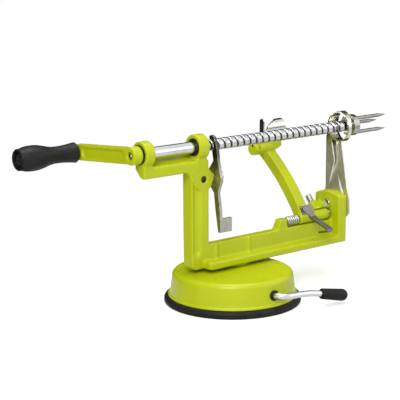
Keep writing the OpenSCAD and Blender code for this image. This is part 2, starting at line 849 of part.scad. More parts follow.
// Curved arm with a hub on the pin, a stop heel, a flat seat for the thumb lever and a head
module peeler_arm() {
    x0 = arm_x - head_len / 2;
    x1 = arm_x + head_len / 2;
    color("yellowgreen")
        difference() {
            union() {
                rod_x(arm_hub_x, plate_x - 3, arm_hub_r, web_y, pivot_z);
                slab_x(arm_x - arm_w / 2, arm_x + arm_w / 2)
                    arm_bow();
                arm_head(x0, x1);
                on_stop_bolt()
                    translate([-5, -3.2, stop_tip - 2.3])
                        cube([7.4, 5, 2.2]);
                on_arm_foot()
                    translate([arm_x - arm_w / 2 + 0.3, -foot_seat, -1])
                        cube([arm_w - 0.6, 3, 11]);
            }
            rod_x(arm_hub_x - 1, plate_x + 1, pivot_r + run_fit, web_y, pivot_z);
            on_arm_foot()
                rod_y(-foot_seat - 1, -foot_seat + 3.5, 1.5, arm_x - 1, 5.2);
            translate([x0 - blade_t, head_y - head_r - 1, blade_pin_z - 3.2])
                cube([blade_t, head_r + 4.2, 20]);
            rod_x(x0 - blade_t - 5, x0 + 5, 1.2, head_y, blade_pin_z);
            rod_x(x1 - 7, x1 + 1, 1.2, head_y, blade_pin_z);
        }
}

// Round head with a slot for one leg of the blade and a wing toward the other
module arm_head(x0, x1) {
    rod_x(x0 - blade_t - 4.4, arm_x + 2, head_r, head_y, head_z);
    slab_y(head_y - head_r + 1.2, head_y + head_r - 1.2)
        polygon([[arm_x - 4, head_z - 5], [arm_x + 2.8, head_z - 4.2], [x1, head_z + 0.2], [x1, head_z + 4.75],
            [arm_x - 4, head_z + 4.75]]);
}

// Long curve of the arm, seen along the screw
module arm_bow() {
    reach = 1.3 * arm_bow_r;
    end_a = arm_tip_a + arm_sweep;
    tip_a = arm_tip_a - 1.2;
    translate([arm_cy, arm_cz])
        intersection() {
            difference() {
                circle(r = arm_bow_r + arm_h / 2, $fn = 720);
                circle(r = arm_bow_r - arm_h / 2, $fn = 720);
            }
            polygon([[0, 0], [reach * cos(tip_a), reach * sin(tip_a)],
                [reach * cos(end_a), reach * sin(end_a)]]);
        }
}

// Pin from a blind hole in the lug through the plate, kept in by the slicer's foot
module arm_pin() {
    color("silver")
        rod_x(lug_x + 3, plate_back_x - 0.2, pivot_r, web_y, pivot_z);
}

// Spring clip on the pin between the arm's hub and the plate
module arm_pin_clip() {
    color("silver")
        difference() {
            rod_x(plate_x - 2.2, plate_x - 1.4, pivot_r + 1.8, web_y, pivot_z);
            rod_x(plate_x - 4, plate_x, pivot_r, web_y, pivot_z);
        }
}

// Coil on the pin, between the lug and the arm's hub
module arm_spring() {
    wire = 0.7;
    turns = 6;
    x0 = lug_x + lug_t + wire + 0.1;
    pitch = (arm_hub_x - x0 - wire - 0.3) / turns;
    path = coil(x0, pitch, turns, pivot_r + wire + 0.3, web_y, pivot_z, 90);
    color("silver")
        tube(path, wire);
    echo("arm spring gap", pitch - 2 * wire);
}

// Blade bent into a hoop: a leg on each end of the head and a curved cutting sheet between them
module peel_blade() {
    x0 = arm_x - head_len / 2 - blade_t;
    x1 = arm_x + head_len / 2;
    color("gainsboro")
        difference() {
            union() {
                intersection() {
                    slab_x(x0 + 0.3, x1 + blade_t - 0.3)
                        blade_curve();
                    slab_y(blade_y - 2 * blade_r, blade_y + 2 * blade_r)
                        blade_outline(x0, x1);
                }
                slab_x(x0, x0 + blade_t)
                    blade_leg(blade_z + blade_r + 3);
                slab_x(x1, x1 + blade_t)
                    blade_leg(blade_z + 2);
            }
            rod_x(x0 - 1, x1 + blade_t + 1, 1.2, head_y, blade_pin_z);
        }
}

// The sheet's curve, seen along the screw
module blade_curve() {
    far = 3 * blade_r;
    translate([blade_y, blade_z])
        intersection() {
            difference() {
                circle(r = blade_r + blade_t);
                circle(r = blade_r);
            }
            polygon([[0, 0], [far * cos(85), far * sin(85)], [far * cos(150), far * sin(150)],
                [far * cos(222), far * sin(222)]]);
        }
}

// The sheet's outline from the front: a bar below and a round shoulder above it
module blade_outline(x0, x1) {
    top = blade_r + blade_t;
    polygon(concat([[x0, blade_z - 2 * blade_r], [x0, blade_z - 0.5]],
        [for (a = [0:10:90]) [x1 + blade_t - 22 * cos(a), blade_z - 0.5 + top * sin(a)]],
        [[x1 + 2 * blade_t, blade_z - 0.5 + top], [x1 + 2 * blade_t, blade_z - 2 * blade_r]]));
}

// Outline of one leg of the blade, with a round end at the given height
module blade_leg(top) {
    w = 2.65;
    post_y = blade_y - blade_r + 0.2;
    polygon([[head_y - 3, blade_pin_z], [head_y + 3, blade_pin_z], [head_y + 3, head_z + 4],
        [post_y + w, blade_z - 5], [post_y + w, top - w], [post_y - w, top - w], [post_y - w, blade_z - 7],
        [head_y - 3, head_z + 6]]);
    translate([post_y, top - w])
        circle(r = w);
    translate([head_y, blade_pin_z])
        circle(r = 3);
}

// Headless screws through the blade's legs
module blade_screws() {
    x0 = arm_x - head_len / 2;
    x1 = arm_x + head_len / 2;
    color("silver") {
        rod_x(x0 - blade_t - 4, x0 + 5, 1.2, head_y, blade_pin_z);
        rod_x(x1 - 7, x1 + blade_t + 0.8, 1.2, head_y, blade_pin_z);
    }
}

// Bent strip on the arm's foot: lift it to swing the blade away
module thumb_lever() {
    x0 = arm_x + 2;
    x1 = x0 + 6.5;
    color("silver")
        difference() {
            union() {
                on_arm_foot()
                    translate([arm_x - arm_w / 2 + 0.5, -foot_seat - 1.25, 1.5])
                        cube([x1 - arm_x + arm_w / 2 - 0.5, 1.2, 7.5]);
                slab_x(x0, x1)
                    polygon([foot_at(-foot_seat, 6), foot_at(-foot_seat - 1.4, 6),
                        foot_at(-foot_seat - 1.4, -1.6), [near_y - 13.6, pivot_z - 4.9],
                        [near_y - 15.2, pivot_z - 6.4], [near_y - 14.2, pivot_z - 8.4],
                        [near_y - 4, pivot_z - 10.6], [near_y - 3.8, pivot_z - 9.2],
                        [near_y - 13, pivot_z - 7.2], [near_y - 13.4, pivot_z - 6.1],
                        foot_at(-foot_seat, -2.8)]);
            }
            on_arm_foot()
                rod_y(-foot_seat - 3, -foot_seat + 1, 1.5, arm_x - 1, 5.2);
        }
}

module thumb_rivets() {
    color("silver")
        on_arm_foot() {
            rod_y(-foot_seat - 1.4, -foot_seat + 3.5, 1.5, arm_x - 1, 5.2);
            rod_y(-foot_seat - 2.5, -foot_seat - 1.25, 2.6, arm_x - 1, 5.2);
        }
}

// Adjusting screw that stops the arm's heel, with a slot in its end
module stop_bolt() {
    color("silver")
        on_stop_bolt()
            difference() {
                translate([0, 0, stop_tip])
                    cylinder(h = 19, r = stop_r);
                translate([-stop_r - 1, -0.5, stop_tip + 17.8])
                    cube([2 * stop_r + 2, 1, 2]);
            }
}

slicer_screw_at = [[axis_y - 1, pivot_z + 8.5]];

// Coring ring with a slanted end on a split slicing plate, held by two strips
module slicer() {
    top_z = axis_h - corer_r + 1.2;
    foot_top = plate_top + 6;
    color("gainsboro")
        difference() {
            union() {
                difference() {
                    rod_x(corer_x, corer_x + corer_len + 4, corer_r, axis_y, axis_h);
                    ring_end();
                }
                slab_x(slicer_x, slicer_x + slicer_t)
                    polygon([[near_y + 0.5, seat_z + 22], [near_y - 2.6, seat_z + 26],
                        [near_y - 2.6, seat_z + 36], [near_y + 0.5, foot_top], [near_y + 6.1, foot_top],
                        [near_y + 3.8, foot_top - 6], [near_y + 6.4, foot_top - 6], [near_y + 8.7, foot_top],
                        [far_y - 3.5, foot_top],
                        [far_y - 1, seat_z + 26], [far_y - 4, seat_z + 22]]);
                far_strip(foot_top, top_z);
                near_strip(foot_top, top_z);
            }
            rod_x(corer_x - 1, corer_x + corer_len + 6, corer_r - corer_wall, axis_y, axis_h);
            for (p = slicer_screw_at)
                rod_x(slicer_x - 1, slicer_x + slicer_t + 1, 2.2, p[0], p[1]);
        }
}

// What lies beyond the ring's slanted end
module ring_end() {
    slope = (corer_len - corer_short) / (2 * corer_r);
    low_y = axis_y - corer_r - 2;
    high_y = axis_y + corer_r + 2;
    translate([corer_x, 0, axis_h - corer_r - 2])
        linear_extrude(2 * corer_r + 4)
            polygon([[corer_short - 2 * slope, low_y], [corer_len + 2 * slope, high_y],
                [corer_len + 6, high_y], [corer_len + 6, low_y]]);
}

// Strip that leans from the plate's far edge to the front end of the ring
module far_strip(z0, z1) {
    lean = atan2(corer_x - slicer_x, z1 - z0);
    h = z1 - z0;
    translate([slicer_x, 0, z0 - 1])
        rotate([0, lean, 0])
            slab_x(0, slicer_t)
                polygon([[far_y - 3.5, 0], [axis_y + 14.8, h + 3], [axis_y + 13.2, h + 11],
                    [axis_y + 10.8, h + 8], [axis_y + 3.2, 0.58 * h], [far_y - 6.8, 0]]);
}

// Split strip that leans from the plate's near edge to the ring, behind the far strip
module near_strip(z0, z1) {
    lean = atan2(corer_x + 0.33 * corer_len - slicer_x, z1 - z0);
    h = z1 - z0;
    translate([slicer_x, 0, z0 - 1])
        rotate([0, lean, 0])
            slab_x(0, slicer_t)
                polygon([[near_y + 0.5, 0], [near_y + 6.1, 0], [axis_y + 0.6, 0.385 * h], [near_y + 8.7, 0],
                    [far_y - 5.5, 0], [axis_y + 12.5, 0.82 * h], [axis_y + 12.5, h + 3],
                    [axis_y + 9.6, h + 6.5], [axis_y + 1, h + 2.2]]);
}

module slicer_screws() {
    color("silver")
        for (p = slicer_screw_at) {
            rod_x(plate_x - 2.4, plate_x, 4.2, p[0], p[1]);
            rod_x(plate_x, slicer_x + slicer_t + 5, 2.2, p[0], p[1]);
        }
}

module slicer_nuts() {
    color("silver")
        for (p = slicer_screw_at)
            translate([slicer_x + slicer_t, p[0], p[1]])
                rotate([0, 90, 0])
                    difference() {
                        cylinder(h = 3.6, r = 4.4, $fn = 6);
                        translate([0, 0, -1])
                            cylinder(h = 6, r = 2.2);
                    }
}

frame();
base_drum();
suction_pad();
pad_stud();
cam_rod();
lever_tip();
rod_grommets();
frame_screws();
front_bush();
rear_bush();
thrust_washer();
lead_screw();
crank_arm();
hub_pin();
grip_spindle();
grip();
fork_hub();
prongs();
release_lever();
lever_pin();
lock_screw();
lever_clip();
lever_spring();
peeler_arm();
arm_pin();
arm_pin_clip();
arm_spring();
peel_blade();
blade_screws();
thumb_lever();
thumb_rivets();
stop_bolt();
slicer();
slicer_screws();
slicer_nuts();
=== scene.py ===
# %% [markdown]
# # A hand cranked apple peeler
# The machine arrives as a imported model: every casting, screw and pin is already in its place, in
# metres. This script only gives it its looks. It loads that model, sets up a camera and a plain
# studio, mixes the finishes, and then goes through the machine piece by piece.

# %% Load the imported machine
import math

import bmesh
import bpy
from mathutils import Matrix, Vector


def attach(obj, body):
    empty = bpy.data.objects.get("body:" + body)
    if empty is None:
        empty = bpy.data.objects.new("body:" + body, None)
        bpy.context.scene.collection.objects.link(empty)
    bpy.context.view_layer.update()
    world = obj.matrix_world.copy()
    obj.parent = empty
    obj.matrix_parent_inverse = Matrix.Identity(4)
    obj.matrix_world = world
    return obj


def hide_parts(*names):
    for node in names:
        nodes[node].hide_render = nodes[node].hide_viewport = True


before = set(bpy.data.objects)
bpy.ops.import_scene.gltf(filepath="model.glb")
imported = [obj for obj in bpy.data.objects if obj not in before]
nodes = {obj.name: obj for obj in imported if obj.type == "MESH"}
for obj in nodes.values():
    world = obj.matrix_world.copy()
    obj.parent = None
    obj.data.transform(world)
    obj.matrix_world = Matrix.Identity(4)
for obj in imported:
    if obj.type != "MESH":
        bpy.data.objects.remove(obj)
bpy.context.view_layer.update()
MM = 0.001
print("loaded", len(nodes), "pieces")

# %% [markdown]
# ## The camera
# The picture was taken from the front left, a little above the table, with a long lens. The angle,
# the distance and the lens were worked out from the round base and the long straight screw, so the
# camera is built from three directions: to its right, up, and back toward the photographer.

# %% Camera
VIEW_AZIMUTH = math.radians(-40.34)
VIEW_HEIGHT = math.radians(12.41)
VIEW_DISTANCE = 1.06479
FOCAL_PIXELS = 1320.45
SHIFT_PIXELS = (-32.61, 4.49)
PICTURE = 400.0
view_target = Vector((0, 0, 0.080))
to_right = Vector((math.cos(VIEW_AZIMUTH), math.sin(VIEW_AZIMUTH), 0))
to_back = Vector((math.cos(VIEW_HEIGHT) * math.sin(VIEW_AZIMUTH),
                  -math.cos(VIEW_HEIGHT) * math.cos(VIEW_AZIMUTH), math.sin(VIEW_HEIGHT)))
to_top = to_back.cross(to_right)
lens = bpy.data.cameras.new("product_camera")
lens.sensor_width = 36.0
lens.lens = FOCAL_PIXELS * lens.sensor_width / PICTURE
lens.shift_x = SHIFT_PIXELS[0] / PICTURE
lens.shift_y = SHIFT_PIXELS[1] / PICTURE
lens.clip_start = 0.05
camera = bpy.data.objects.new("product_camera", lens)
turn = Matrix((to_right, to_top, to_back)).transposed().to_4x4()
camera.matrix_world = Matrix.Translation(view_target + to_back * VIEW_DISTANCE) @ turn
scene = bpy.context.scene
scene.collection.objects.link(camera)
scene.camera = camera
print("camera at", [round(c, 3) for c in camera.location], "lens", round(lens.lens, 1))

# %% [markdown]
# ## The studio
# The machine stands on white paper. The world is white wherever the camera or a mirror looks, and
# dimmer as a lamp, so that the paint keeps its colour. Shader nodes are added many times below, so
# one helper makes a node and feeds its inputs, either with a fixed value or from another node.

# %% World
scene.view_settings.view_transform = "Standard"
WHITE = (1, 1, 1, 1)
ROOM_LIGHT = 0.30


def add_node(tree, kind, inputs):
    node = tree.nodes.new(kind)
    for key, value in inputs.items():
        if isinstance(value, bpy.types.NodeSocket):
            tree.links.new(value, node.inputs[key])
        else:
            node.inputs[key].default_value = value
    return node


def maths(tree, operation, first, second):
    node = add_node(tree, "ShaderNodeMath", {0: first, 1: second})
    node.operation = operation
    return node.outputs[0]


def build_world():
    world = bpy.data.worlds.new("white_room")
    scene.world = world
    world.use_nodes = True
    tree = world.node_tree
    tree.nodes.clear()
    rays = tree.nodes.new("ShaderNodeLightPath").outputs
    seen = maths(tree, "MAXIMUM", rays["Is Camera Ray"], rays["Is Glossy Ray"])
    clear = maths(tree, "MAXIMUM", seen, rays["Is Transmission Ray"])
    lamp = add_node(tree, "ShaderNodeBackground", {"Color": WHITE, "Strength": ROOM_LIGHT})
    white = add_node(tree, "ShaderNodeBackground", {"Color": WHITE, "Strength": 1.0})
    room = add_node(tree, "ShaderNodeMixShader", {
        0: clear, 1: lamp.outputs[0], 2: white.outputs[0]})
    add_node(tree, "ShaderNodeOutputWorld", {"Surface": room.outputs[0]})


build_world()
print("world lights at", ROOM_LIGHT)

# %% [markdown]
# The floor is plain matte paper, so the machine keeps its soft shadow. Away from the machine it
# fades into even white, as a lit paper sweep does, but only for the camera: as a surface that
# throws light back it stays paper everywhere.

# %% Floor
PAPER_REACH = 6.0
PAPER_TONE = (0.80, 0.80, 0.80, 1)
PAPER_LIFT = 0.45
SHADOW_REACH = (0.10, 0.26)


def bare_finish(name):
    finish = bpy.data.materials.new(name)
    finish.use_nodes = True
    finish.node_tree.nodes.clear()
    return finish, finish.node_tree


def paper_finish():
    paper, tree = bare_finish("white_paper")
    camera_ray = tree.nodes.new("ShaderNodeLightPath").outputs["Is Camera Ray"]
    matte = add_node(tree, "ShaderNodeBsdfDiffuse", {"Color": PAPER_TONE})
    lift = maths(tree, "MULTIPLY", camera_ray, PAPER_LIFT)
    glow = add_node(tree, "ShaderNodeEmission", {"Strength": lift})
    near = add_node(tree, "ShaderNodeAddShader", {0: matte.outputs[0], 1: glow.outputs[0]})
    where = tree.nodes.new("ShaderNodeTexCoord")
    distance = add_node(tree, "ShaderNodeVectorMath", {0: where.outputs["Object"]})
    distance.operation = "LENGTH"
    fade = add_node(tree, "ShaderNodeMapRange", {
        "Value": distance.outputs["Value"],
        "From Min": SHADOW_REACH[0], "From Max": SHADOW_REACH[1]})
    fade.interpolation_type = "SMOOTHSTEP"
    far = maths(tree, "MULTIPLY", fade.outputs["Result"], camera_ray)
    white = tree.nodes.new("ShaderNodeEmission")
    whole = add_node(tree, "ShaderNodeMixShader", {
        0: far, 1: near.outputs[0], 2: white.outputs[0]})
    add_node(tree, "ShaderNodeOutputMaterial", {"Surface": whole.outputs[0]})
    return paper


def build_floor():
    mesh = bpy.data.meshes.new("white_sweep")
    low, high = -PAPER_REACH, PAPER_REACH
    corners = [(low, low, 0), (high, low, 0), (high, high, 0), (low, high, 0)]
    mesh.from_pydata(corners, [], [(0, 1, 2, 3)])
    mesh.materials.append(paper_finish())
    floor = bpy.data.objects.new("white_sweep", mesh)
    scene.collection.objects.link(floor)


build_floor()
print("paper fades to white from", SHADOW_REACH[0], "to", SHADOW_REACH[1], "m")

# %% [markdown]
# Polished steel has no colour of its own: it only looks like steel when there is something dark to
# mirror next to something bright. So a dark card is bent round the back of the table, the way a
# photographer sets up black flags, and only mirror rays see it. It starts a little away from the
# base, spans the back from the right to the left, and ends low enough that tops and round edges
# still find the white room above it.

# %% Dark card
MACHINE_MIDDLE = (0.02, 0.01, 0.08)
CARD_STEPS = 40
CARD_ANGLES = (5, 172)
CARD_PROFILE = [(0.17, 0.002), (0.66, 0.004), (0.68, 0.72)]
CARD_TONE = (0.022, 0.022, 0.018, 1)


def felt_finish(name):
    felt, tree = bare_finish(name)
    dark = add_node(tree, "ShaderNodeEmission", {"Color": CARD_TONE})
    add_node(tree, "ShaderNodeOutputMaterial", {"Surface": dark.outputs[0]})
    return felt


def bent_card(name):
    first, last = CARD_ANGLES
    width = len(CARD_PROFILE)
    points, faces = [], []
    for i in range(CARD_STEPS + 1):
        t = math.radians(first + (last - first) * i / CARD_STEPS)
        points += [(MACHINE_MIDDLE[0] + r * math.cos(t), MACHINE_MIDDLE[1] + r * math.sin(t), z)
                   for r, z in CARD_PROFILE]
    for i in range(CARD_STEPS):
        for k in range(width - 1):
            a = i * width + k
            faces.append((a, a + 1, a + 1 + width, a + width))
    mesh = bpy.data.meshes.new(name)
    mesh.from_pydata(points, [], faces)
    mesh.materials.append(felt_finish(name + "_felt"))
    card = bpy.data.objects.new(name, mesh)
    scene.collection.objects.link(card)
    card.visible_camera = False
    card.visible_diffuse = False
    card.visible_shadow = False
    card.visible_transmission = False
    print(name, len(faces), "faces")


bent_card("back_card")

# %% [markdown]
# Three square soft lamps light the machine: a strong one high in front on the left, a weaker one
# overhead for the tops, and a faint one on the right that opens the shadows.

# %% Lamps
def soft_lamp(name, place, width, power):
    light = bpy.data.lights.new(name, "AREA")
    light.shape = "SQUARE"
    light.size = width
    light.energy = power
    lamp = bpy.data.objects.new(name, light)
    lamp.location = place
    aim = Vector(MACHINE_MIDDLE) - Vector(place)
    lamp.rotation_euler = aim.to_track_quat("-Z", "Y").to_euler()
    scene.collection.objects.link(lamp)
    print(name, power, "W")


soft_lamp("key_lamp", (-0.76, -0.68, 0.85), 0.60, 10.6)
soft_lamp("top_lamp", (0.10, 0.05, 1.10), 0.70, 6.4)
soft_lamp("fill_lamp", (0.80, -0.75, 0.45), 0.90, 1.5)

# %% [markdown]
# ## Mixing finishes
# Every finish starts from the standard surface shader. What makes it believable is small: a colour
# that drifts a little, a roughness that is not the same everywhere, and a fine surface. These
# helpers add such a layer of noise, so that each finish below stays a few lines long. The noise is
# read in the machine's own millimetres, so its grain has a real size.

# %% Helpers for finishes
NOISE_LOW, NOISE_HIGH = 0.3, 0.7


def new_finish(name, metal=0.0):
    finish = bpy.data.materials.new(name)
    finish.use_nodes = True
    shader = finish.node_tree.nodes["Principled BSDF"]
    shader.inputs["Metallic"].default_value = metal
    print("mixing", name)
    return finish, finish.node_tree, shader


def grain(tree, size_mm, detail=3.0, stretch=(1, 1, 1)):
    where = tree.nodes.new("ShaderNodeTexCoord")
    scale = add_node(tree, "ShaderNodeMapping", {
        "Vector": where.outputs["Object"],
        "Scale": tuple(1.0 / (size_mm * MM * s) for s in stretch)})
    noise = add_node(tree, "ShaderNodeTexNoise", {
        "Vector": scale.outputs[0], "Scale": 1.0, "Detail": detail})
    return noise.outputs["Fac"]


def drift_colour(tree, shader, amount, low, high):
    ramp = add_node(tree, "ShaderNodeValToRGB", {"Fac": amount})
    for stop, place, colour in zip(ramp.color_ramp.elements, (NOISE_LOW, NOISE_HIGH), (low, high)):
        stop.position = place
        stop.color = (*colour, 1)
    tree.links.new(ramp.outputs["Color"], shader.inputs["Base Color"])


def drift_roughness(tree, shader, amount, low, high):
    span = add_node(tree, "ShaderNodeMapRange", {
        "Value": amount, "From Min": NOISE_LOW, "From Max": NOISE_HIGH,
        "To Min": low, "To Max": high})
    tree.links.new(span.outputs["Result"], shader.inputs["Roughness"])


def fine_surface(tree, shader, amount, height_mm, strength):
    relief = add_node(tree, "ShaderNodeBump", {
        "Height": amount, "Distance": height_mm * MM, "Strength": strength})
    tree.links.new(relief.outputs["Normal"], shader.inputs["Normal"])


print("finishes drift where the noise runs from", NOISE_LOW, "to", NOISE_HIGH)

# %% [markdown]
# ## Lime green paint
# The castings are powder coated: a thick glossy skin that flows over the edges and shows a faint
# orange peel in its reflections. The colour is nearly even, so it only drifts between two close
# greens. A few dark specks of dust were caught in the coat: small dots in the middle of scattered
# cells, mixed over the green. A thin clear coat gives the long soft highlights.

# %% Lime green paint
def colour_over(tree, shader, amount, colour):
    blend = tree.nodes.new("ShaderNodeMix")
    blend.data_type = "RGBA"
    blend.inputs["B"].default_value = (*colour, 1)
    plain = shader.inputs["Base Color"].links[0].from_socket
    tree.links.new(plain, blend.inputs["A"])
    tree.links.new(amount, blend.inputs["Factor"])
    tree.links.new(blend.outputs["Result"], shader.inputs["Base Color"])


def specks(tree, shader, apart_mm, share, colour, strength):
    where = tree.nodes.new("ShaderNodeTexCoord")
    cells = add_node(tree, "ShaderNodeTexVoronoi", {
        "Vector": where.outputs["Object"], "Scale": 1.0 / (apart_mm * MM)})
    dot = add_node(tree, "ShaderNodeMapRange", {
        "Value": cells.outputs["Distance"], "From Min": share, "From Max": share * 0.5,
        "To Max": strength})
    colour_over(tree, shader, dot.outputs["Result"], colour)


lime_paint, tree, shader = new_finish("lime_powder_coat")
drift_colour(tree, shader, grain(tree, 38, 2), (0.465, 0.535, 0.003), (0.510, 0.575, 0.005))
specks(tree, shader, 7.0, 0.055, (0.150, 0.165, 0.006), 0.55)
drift_roughness(tree, shader, grain(tree, 9, 3), 0.26, 0.36)
fine_surface(tree, shader, grain(tree, 1.7, 2), 0.05, 0.16)
shader.inputs["Specular IOR Level"].default_value = 0.27
shader.inputs["Coat Weight"].default_value = 0.12
shader.inputs["Coat Roughness"].default_value = 0.12

# %% [markdown]
# ## Blacks
# Three blacks, told apart by how they take the light. The grip and the lever's tip have a satin
# moulded skin, the suction pad is soft rubber with a dusty bloom, and the bushes and the washer are
# plain hard plastic.

# %% Black grip, rubber and plastic
BLACK_SPECULAR = 0.16

satin_black, tree, shader = new_finish("satin_grip_black")
shader.inputs["Specular IOR Level"].default_value = BLACK_SPECULAR
drift_colour(tree, shader, grain(tree, 14, 3), (0.010, 0.010, 0.011), (0.017, 0.017, 0.018))
drift_roughness(tree, shader, grain(tree, 5, 4), 0.34, 0.46)
fine_surface(tree, shader, grain(tree, 0.5, 3), 0.03, 0.25)

pad_rubber, tree, shader = new_finish("suction_rubber")
shader.inputs["Specular IOR Level"].default_value = BLACK_SPECULAR
drift_colour(tree, shader, grain(tree, 10, 4), (0.009, 0.009, 0.009), (0.019, 0.018, 0.017))
drift_roughness(tree, shader, grain(tree, 4, 4), 0.48, 0.68)
fine_surface(tree, shader, grain(tree, 0.8, 3), 0.04, 0.3)

bush_plastic, tree, shader = new_finish("bush_plastic")
shader.inputs["Specular IOR Level"].default_value = BLACK_SPECULAR
drift_colour(tree, shader, grain(tree, 4, 3), (0.012, 0.012, 0.013), (0.024, 0.024, 0.026))
drift_roughness(tree, shader, grain(tree, 2, 3), 0.34, 0.5)
fine_surface(tree, shader, grain(tree, 0.4, 2), 0.02, 0.2)

# %% [markdown]
# ## Bright steels
# The shaft and the suction lever are chromed and nearly a mirror. The thread, pins and screws are
# zinc plated, which is paler and softer. The peeling blade is polished, the fork's hub is brushed
# stainless and its prongs are a darker drawn steel. A metal takes its whole look from its colour
# and its roughness, so stretching the grain along the piece is what makes it look brushed.

# %% Chrome, zinc, blade and fork
chrome, tree, shader = new_finish("polished_chrome", 1.0)
drift_colour(tree, shader, grain(tree, 12, 2), (0.62, 0.63, 0.65), (0.72, 0.73, 0.75))
drift_roughness(tree, shader, grain(tree, 2.2, 4, (4, 1, 1)), 0.06, 0.15)
fine_surface(tree, shader, grain(tree, 0.7, 2, (0.3, 3, 3)), 0.01, 0.1)

zinc, tree, shader = new_finish("zinc_plate", 1.0)
drift_colour(tree, shader, grain(tree, 5, 3), (0.52, 0.53, 0.54), (0.68, 0.68, 0.69))
drift_roughness(tree, shader, grain(tree, 2, 4), 0.16, 0.32)
fine_surface(tree, shader, grain(tree, 0.6, 3), 0.02, 0.18)

blade_steel, tree, shader = new_finish("bright_blade", 1.0)
drift_colour(tree, shader, grain(tree, 6, 3), (0.70, 0.70, 0.68), (0.82, 0.82, 0.80))
drift_roughness(tree, shader, grain(tree, 1.2, 3, (8, 1, 1)), 0.14, 0.26)
fine_surface(tree, shader, grain(tree, 0.25, 2, (20, 1, 1)), 0.01, 0.12)

stainless, tree, shader = new_finish("brushed_stainless", 1.0)
drift_colour(tree, shader, grain(tree, 8, 3), (0.40, 0.385, 0.36), (0.53, 0.515, 0.485))
drift_roughness(tree, shader, grain(tree, 1.2, 3, (1, 1, 8)), 0.14, 0.28)
fine_surface(tree, shader, grain(tree, 0.25, 2, (1, 1, 20)), 0.01, 0.16)

prong_steel, tree, shader = new_finish("prong_steel", 1.0)
drift_colour(tree, shader, grain(tree, 5, 3), (0.27, 0.255, 0.24), (0.38, 0.36, 0.34))
drift_roughness(tree, shader, grain(tree, 1.2, 3, (8, 1, 1)), 0.12, 0.24)
fine_surface(tree, shader, grain(tree, 0.25, 2, (20, 1, 1)), 0.01, 0.14)

# %% [markdown]
# ## Sheet steels
# The slicer is rolled sheet with a soft shine and bright ground edges. Only its ring is worn smooth
# by the fruit, so its roughness falls with height. The thumb strip is left in dull steel. The
# release lever is given painted shade toward its nose, where its polished hook mirrors the dark,
# which is again a mix that follows the height. Both use one helper that turns height into a number.

# %% Slicer sheet, edges and levers
def by_height(tree, low_mm, high_mm, below, above):
    where = tree.nodes.new("ShaderNodeTexCoord")
    split = add_node(tree, "ShaderNodeSeparateXYZ", {0: where.outputs["Object"]})
    level = add_node(tree, "ShaderNodeMapRange", {
        "Value": split.outputs["Z"], "From Min": low_mm * MM, "From Max": high_mm * MM,
        "To Min": below, "To Max": above})
    return level.outputs["Result"]


sheet_steel, tree, shader = new_finish("rolled_blade_sheet", 1.0)
drift_colour(tree, shader, grain(tree, 9, 3), (0.64, 0.63, 0.54), (0.76, 0.75, 0.66))
drift_roughness(tree, shader, grain(tree, 1.4, 3, (1, 1, 7)), 0.44, 0.56)
rolled = shader.inputs["Roughness"].links[0].from_socket
worn = maths(tree, "MULTIPLY", rolled, by_height(tree, 110, 116, 1.0, 0.42))
tree.links.new(worn, shader.inputs["Roughness"])
fine_surface(tree, shader, grain(tree, 0.3, 2, (1, 1, 18)), 0.01, 0.2)

ground_edge, tree, shader = new_finish("ground_edge", 1.0)
drift_colour(tree, shader, grain(tree, 3, 3), (0.74, 0.74, 0.73), (0.86, 0.86, 0.85))
drift_roughness(tree, shader, grain(tree, 0.8, 3), 0.22, 0.4)

dull_steel, tree, shader = new_finish("stamped_steel", 1.0)
drift_colour(tree, shader, grain(tree, 6, 4), (0.17, 0.165, 0.15), (0.27, 0.262, 0.24))
drift_roughness(tree, shader, grain(tree, 2, 4), 0.24, 0.4)
fine_surface(tree, shader, grain(tree, 0.5, 3, (1, 1, 4)), 0.02, 0.2)

lever_steel_painted_shade, tree, shader = new_finish("lever_steel_painted_shade", 1.0)
drift_colour(tree, shader, grain(tree, 6, 4), (0.38, 0.355, 0.325), (0.52, 0.49, 0.455))
# painted shade: the lever turns nearly black toward its nose, where its polished hook mirrors the
# dark
colour_over(tree, shader, by_height(tree, 106, 121, 0.0, 0.88), (0.035, 0.033, 0.026))
drift_roughness(tree, shader, grain(tree, 2, 4), 0.24, 0.4)
fine_surface(tree, shader, grain(tree, 0.5, 3, (1, 1, 4)), 0.02, 0.2)

# %% [markdown]
# ## The castings
# The stand, the crank and the blade's arm are poured in moulds, so no edge on them is sharp and
# every inside corner carries a small fillet. Bevelling each edge of such a form by hand is slow.
# Instead a copy of the solid gets one even skin of small squares, which is then relaxed a few
# times: outer edges round over and inner corners fill in together, as paint and mould do it.

# %% Castings
def freeze(piece):
    ready = piece.evaluated_get(bpy.context.evaluated_depsgraph_get())
    mesh = bpy.data.meshes.new_from_object(ready)
    piece.modifiers.clear()
    piece.data = mesh
    return mesh


def hand_over(piece, body, node):
    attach(piece, body)
    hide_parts(node)
    print(piece.name, len(piece.data.polygons), "faces")


def cast_skin(name, node, body, square_mm, relax, keep):
    piece = bpy.data.objects.new(name, nodes[node].data.copy())
    scene.collection.objects.link(piece)
    skin = piece.modifiers.new("even skin", "REMESH")
    skin.mode = "VOXEL"
    skin.voxel_size = square_mm * MM
    soften = piece.modifiers.new("mould radius", "SMOOTH")
    soften.factor = 0.5
    soften.iterations = relax
    lighten = piece.modifiers.new("fewer faces", "DECIMATE")
    lighten.ratio = keep
    mesh = freeze(piece)
    mesh.name = name
    mesh.materials.clear()
    mesh.materials.append(lime_paint)
    mesh.shade_smooth()
    hand_over(piece, body, node)


cast_skin("cast_stand", "frame", "stand", square_mm=0.8, relax=6, keep=0.3)
cast_skin("cast_crank", "crank_arm", "crank", square_mm=0.5, relax=5, keep=0.35)
cast_skin("cast_arm", "peeler_arm", "peeler", square_mm=0.5, relax=6, keep=0.35)

# %% [markdown]
# ## Turning round pieces
# Drum, grip, tip and screw are all round about an axis, so they are turned like on a lathe: a
# profile of radius and position is carried round. One helper lays a ring of points, or a single
# point where the radius is nothing, and another joins the rings with squares.

# %% Lathe helpers
NO_RADIUS = 1e-7


